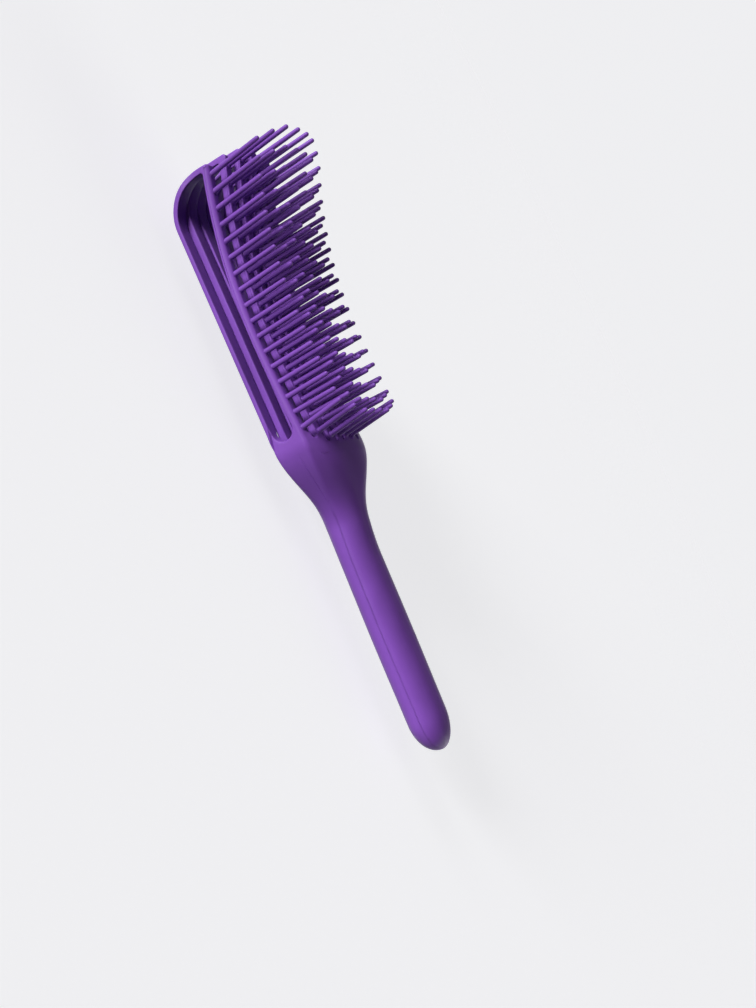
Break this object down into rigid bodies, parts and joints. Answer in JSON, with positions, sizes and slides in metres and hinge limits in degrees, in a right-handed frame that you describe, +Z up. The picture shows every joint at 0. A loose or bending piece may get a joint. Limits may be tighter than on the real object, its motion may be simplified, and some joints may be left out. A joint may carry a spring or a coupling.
{
  "type": "detangling hairbrush",
  "caption": "Flexible detangling hairbrush: a slim handle whose neck fans out into looped rows, each a curved strip of tapered pins held by an arched back arm.",
  "frame": {"origin": "centre of the brush's footprint, on the table it rests on with the pins up", "axes": "+X across the rows, +Y from the handle to the tip, +Z up, along the pins"},
  "size_m": [0.0592, 0.2486, 0.0545],
  "materials": {
    "handle_plastic": "satin-gloss moulded nylon, purple",
    "row_plastic": "satin-gloss moulded nylon, purple",
    "pin_plastic": "smooth moulded nylon, purple, rounded tips"
  },
  "bodies": {
    "handle": {"handle_front_shell": "handle_plastic", "handle_back_shell": "handle_plastic"},
    "row_1": {"row_1_back_arm": "row_plastic", "row_1_pin_strip": "row_plastic", "row_1_pins": "pin_plastic"},
    "row_2": {"row_2_back_arm": "row_plastic", "row_2_pin_strip": "row_plastic", "row_2_pins": "pin_plastic"},
    "row_3": {"row_3_back_arm": "row_plastic", "row_3_pin_strip": "row_plastic", "row_3_pins": "pin_plastic"},
    "row_4": {"row_4_back_arm": "row_plastic", "row_4_pin_strip": "row_plastic", "row_4_pins": "pin_plastic"},
    "row_5": {"row_5_back_arm": "row_plastic", "row_5_pin_strip": "row_plastic", "row_5_pins": "pin_plastic"},
    "row_6": {"row_6_back_arm": "row_plastic", "row_6_pin_strip": "row_plastic", "row_6_pins": "pin_plastic"},
    "row_7": {"row_7_back_arm": "row_plastic", "row_7_pin_strip": "row_plastic", "row_7_pins": "pin_plastic"},
    "row_8": {"row_8_back_arm": "row_plastic", "row_8_pin_strip": "row_plastic", "row_8_pins": "pin_plastic"}
  },
  "joints": [
    {"name": "row_1_flex", "type": "hinge", "parent": "handle", "child": "row_1", "pos_m": [-0.02625, 0.01304, 0.00858], "axis": [1, 0, 0], "range_deg": [-5, 3], "stiffness_Nm_per_rad": 1.5},
    {"name": "row_2_flex", "type": "hinge", "parent": "handle", "child": "row_2", "pos_m": [-0.01875, 0.01042, 0.01097], "axis": [1, 0, 0], "range_deg": [-5, 3], "stiffness_Nm_per_rad": 1.5},
    {"name": "row_3_flex", "type": "hinge", "parent": "handle", "child": "row_3", "pos_m": [-0.01125, 0.00838, 0.01178], "axis": [1, 0, 0], "range_deg": [-5, 3], "stiffness_Nm_per_rad": 1.5},
    {"name": "row_4_flex", "type": "hinge", "parent": "handle", "child": "row_4", "pos_m": [-0.00375, 0.00839, 0.01188], "axis": [1, 0, 0], "range_deg": [-5, 3], "stiffness_Nm_per_rad": 1.5},
    {"name": "row_5_flex", "type": "hinge", "parent": "handle", "child": "row_5", "pos_m": [0.00375, 0.00839, 0.01188], "axis": [1, 0, 0], "range_deg": [-5, 3], "stiffness_Nm_per_rad": 1.5},
    {"name": "row_6_flex", "type": "hinge", "parent": "handle", "child": "row_6", "pos_m": [0.01125, 0.00838, 0.01178], "axis": [1, 0, 0], "range_deg": [-5, 3], "stiffness_Nm_per_rad": 1.5},
    {"name": "row_7_flex", "type": "hinge", "parent": "handle", "child": "row_7", "pos_m": [0.01875, 0.01042, 0.01097], "axis": [1, 0, 0], "range_deg": [-5, 3], "stiffness_Nm_per_rad": 1.5},
    {"name": "row_8_flex", "type": "hinge", "parent": "handle", "child": "row_8", "pos_m": [0.02625, 0.01304, 0.00858], "axis": [1, 0, 0], "range_deg": [-5, 3], "stiffness_Nm_per_rad": 1.5}
  ]
}
